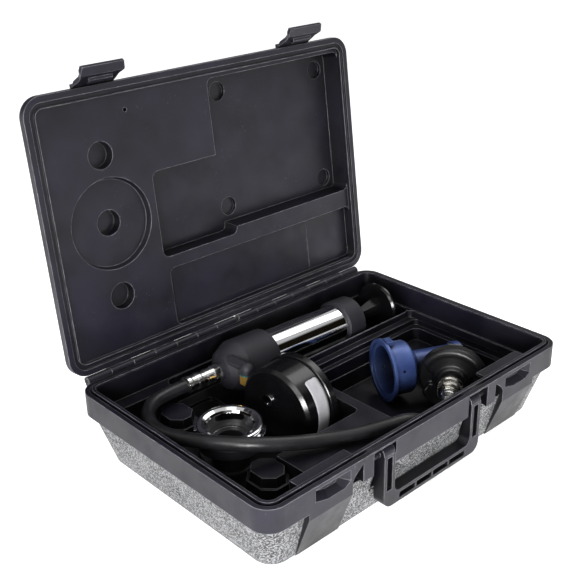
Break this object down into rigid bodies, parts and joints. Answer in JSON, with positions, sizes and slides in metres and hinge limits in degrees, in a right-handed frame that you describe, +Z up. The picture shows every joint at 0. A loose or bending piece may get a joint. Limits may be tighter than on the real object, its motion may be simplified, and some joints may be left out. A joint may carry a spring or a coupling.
{
  "type": "cooling system pressure tester",
  "caption": "Boxed pressure tester for a cooling system: hand pump with a dial gauge, hose, bayonet test head and two filler adapters lying in an open hinged carry case.",
  "frame": {"origin": "centre of the case base's underside, on the bench", "axes": "+X along the case's long side, +Y from the handle side to the hinge, +Z up"},
  "size_m": [0.38, 0.3185, 0.3478],
  "materials": {
    "grey_case_plastic": "blow-moulded polyethylene, fine grain",
    "black_nylon": "moulded, satin",
    "chrome_plating": "bright plated",
    "steel_pin": "turned",
    "spring_steel": "drawn wire",
    "aluminium": "turned",
    "brass": "turned",
    "black_rubber": "moulded",
    "green_rubber": "moulded",
    "hose_rubber": "smooth extruded cover",
    "black_steel": "black plated",
    "black_enamel": "satin enamel",
    "clear_lens": "clear",
    "dial_white": "printed white enamel",
    "nickel_plate": "nickel plated",
    "blue_anodised": "blue anodised, satin"
  },
  "bodies": {
    "case": {"barrel_end_collar": "black_nylon", "bayonet_plate": "steel_pin", "blue_adapter": "blue_anodised", "blue_adapter_gasket": "black_rubber", "bourdon_tube": "brass", "case_base": "grey_case_plastic", "check_valve_disc": "black_rubber", "check_valve_retainer": "brass", "check_valve_spring": "spring_steel", "coupler_body": "brass", "coupler_spring": "spring_steel", "filler_neck": "chrome_plating", "gauge_back_screw": "nickel_plate", "gauge_bezel": "black_enamel", "gauge_case": "black_enamel", "gauge_dial": "dial_white", "gauge_lens": "clear_lens", "gauge_nipple": "brass", "hinge_pin_left": "steel_pin", "hinge_pin_right": "steel_pin", "hose_nut": "black_steel", "movement_frame": "brass", "neck_adapter_body": "black_nylon", "neck_adapter_gasket": "black_rubber", "pressure_hose": "hose_rubber", "pump_barrel": "chrome_plating", "pump_end_ferrule": "black_steel", "pump_head": "black_nylon", "relief_valve_body": "brass", "relief_valve_seal": "green_rubber", "rod_guide_bush": "black_nylon", "test_end_ferrule": "black_steel", "test_head_body": "black_nylon", "test_head_seal": "black_rubber", "test_head_spindle": "steel_pin"},
    "lid": {"case_lid": "grey_case_plastic"},
    "handle": {"carry_handle": "grey_case_plastic"},
    "left_latch": {"latch_left": "grey_case_plastic"},
    "right_latch": {"latch_right": "grey_case_plastic"},
    "plunger": {"plunger_rod": "steel_pin", "pump_piston": "aluminium", "piston_cup_seal": "black_rubber", "pump_knob": "black_nylon"},
    "relief_pin": {"relief_valve_pin": "black_nylon"},
    "needle": {"gauge_needle": "black_enamel", "needle_arbor": "steel_pin"},
    "sector": {"sector_gear": "brass"},
    "coupler": {"coupler_sleeve": "chrome_plating"}
  },
  "joints": [
    {"name": "lid_hinge", "type": "hinge", "parent": "case", "child": "lid", "pos_m": [0, 0.1306, 0.072], "axis": [1, 0, 0], "range_deg": [0, 96.9]},
    {"name": "handle_pivot", "type": "hinge", "parent": "case", "child": "handle", "pos_m": [0, -0.1195, 0.0615], "axis": [-1, 0, 0], "range_deg": [0, 90]},
    {"name": "left_latch_swing", "type": "hinge", "parent": "lid", "child": "left_latch", "pos_m": [-0.118, 0.16576, 0.32763], "axis": [1, 0, 0], "range_deg": [-15, 28]},
    {"name": "right_latch_swing", "type": "hinge", "parent": "lid", "child": "right_latch", "pos_m": [0.118, 0.16576, 0.32763], "axis": [1, 0, 0], "range_deg": [-15, 28]},
    {"name": "plunger_slide", "type": "slide", "parent": "case", "child": "plunger", "axis": [0.9988, 0.0134, -0.0468], "range_m": [-0.015, 0.008]},
    {"name": "relief_press", "type": "slide", "parent": "case", "child": "relief_pin", "axis": [0, 0, 1], "range_m": [0, 0.002], "stiffness_N_per_m": 300},
    {"name": "needle_turn", "type": "hinge", "parent": "case", "child": "needle", "pos_m": [-0.0343, 0.0028, 0.05], "axis": [0.9968, 0.0802, 0], "range_deg": [0, 270]},
    {"name": "sector_turn", "type": "hinge", "parent": "case", "child": "sector", "pos_m": [-0.03361, -0.00577, 0.05], "axis": [0.9968, 0.0802, 0], "range_deg": [-80, 0]},
    {"name": "coupler_pull", "type": "slide", "parent": "case", "child": "coupler", "axis": [-0.8415, -0.5402, 0], "range_m": [0, 0.003], "stiffness_N_per_m": 1500, "springref_m": -0.001, "deforming": ["coupler_spring"]}
  ],
  "couplings": [
    {"joint": "sector_turn", "follows": "needle_turn", "ratio": -0.28788}
  ]
}
